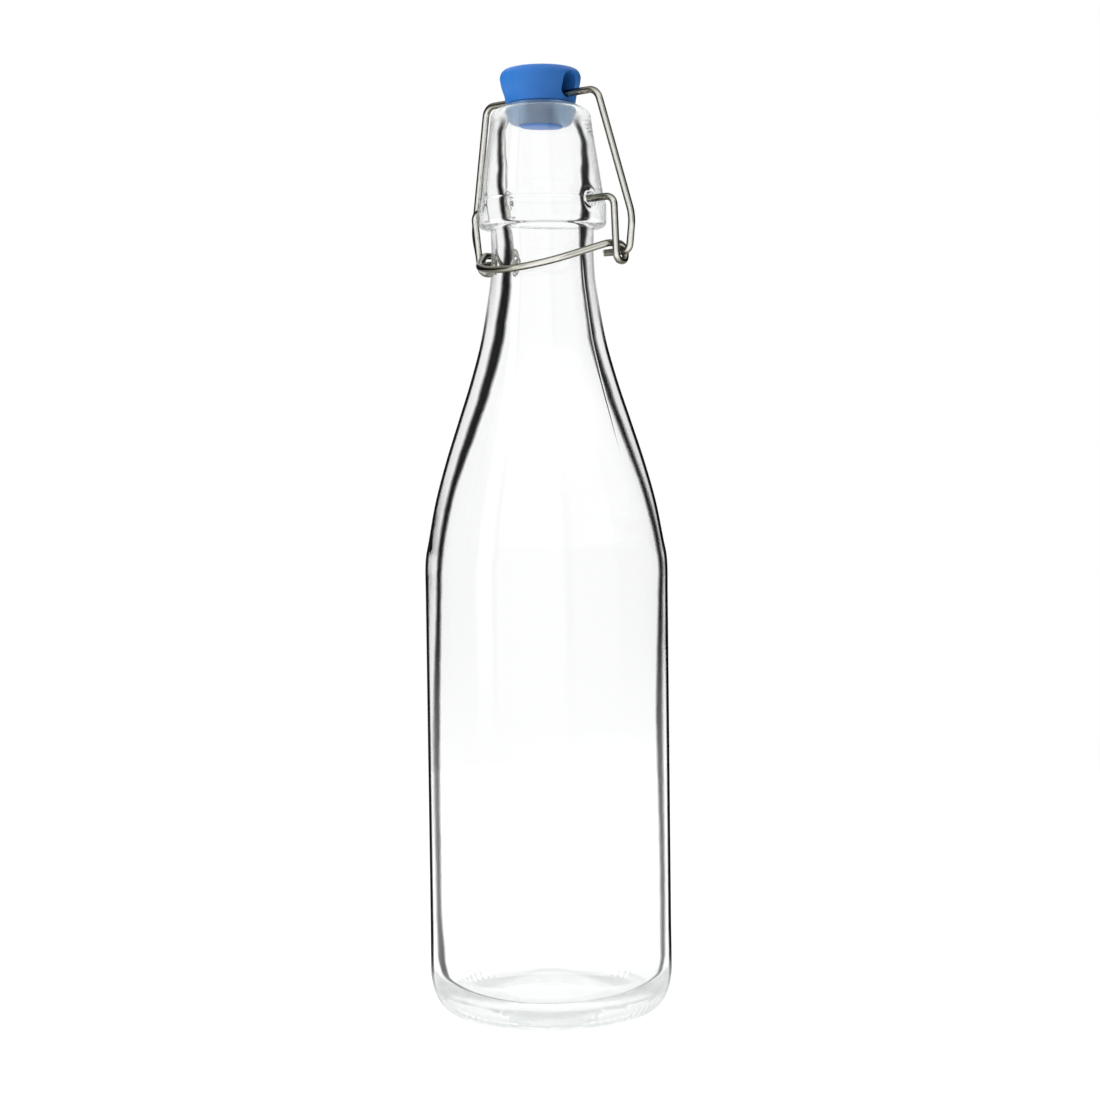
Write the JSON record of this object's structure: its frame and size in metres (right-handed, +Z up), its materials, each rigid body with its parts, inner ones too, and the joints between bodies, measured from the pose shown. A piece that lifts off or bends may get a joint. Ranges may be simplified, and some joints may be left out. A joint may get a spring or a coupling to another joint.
{
  "type": "swing top bottle",
  "caption": "Round clear glass bottle with a long tapered shoulder, closed by a wire bail and lever that clamp a plastic stopper with a silicone seal.",
  "frame": {"origin": "centre of the base, on the plane the bottle stands on", "axes": "+Z up along the bottle's axis; X along the lever's pivot axis; the lever's thumb bar is in front, at -Y"},
  "size_m": [0.069, 0.069, 0.2658],
  "materials": {
    "clear_glass": "clear, smooth, slightly green where it is thick",
    "blue_plastic": "satin moulded",
    "silicone": "milky, translucent",
    "steel_wire": "bright drawn wire"
  },
  "bodies": {
    "bottle": {"glass_bottle": "clear_glass"},
    "lever": {"lever_wire": "steel_wire"},
    "bail": {"bail_wire": "steel_wire"},
    "stopper": {"stopper": "blue_plastic", "seal_gasket": "silicone"}
  },
  "joints": [
    {"name": "lever_swing", "type": "hinge", "parent": "bottle", "child": "lever", "pos_m": [0, 0, 0.228], "axis": [-1, 0, 0], "range_deg": [0, 96], "deforming": ["seal_gasket"]},
    {"name": "bail_swing", "type": "hinge", "parent": "lever", "child": "bail", "pos_m": [0, 0.0044, 0.2131], "axis": [-1, 0, 0], "range_deg": [-67.2, 0]},
    {"name": "stopper_tilt", "type": "hinge", "parent": "bail", "child": "stopper", "pos_m": [0, 0, 0.25795], "axis": [-1, 0, 0], "range_deg": [-28.8, 0]}
  ],
  "couplings": [
    {"joint": "bail_swing", "follows": "lever_swing", "ratio": -0.7},
    {"joint": "stopper_tilt", "follows": "lever_swing", "ratio": -0.3}
  ]
}
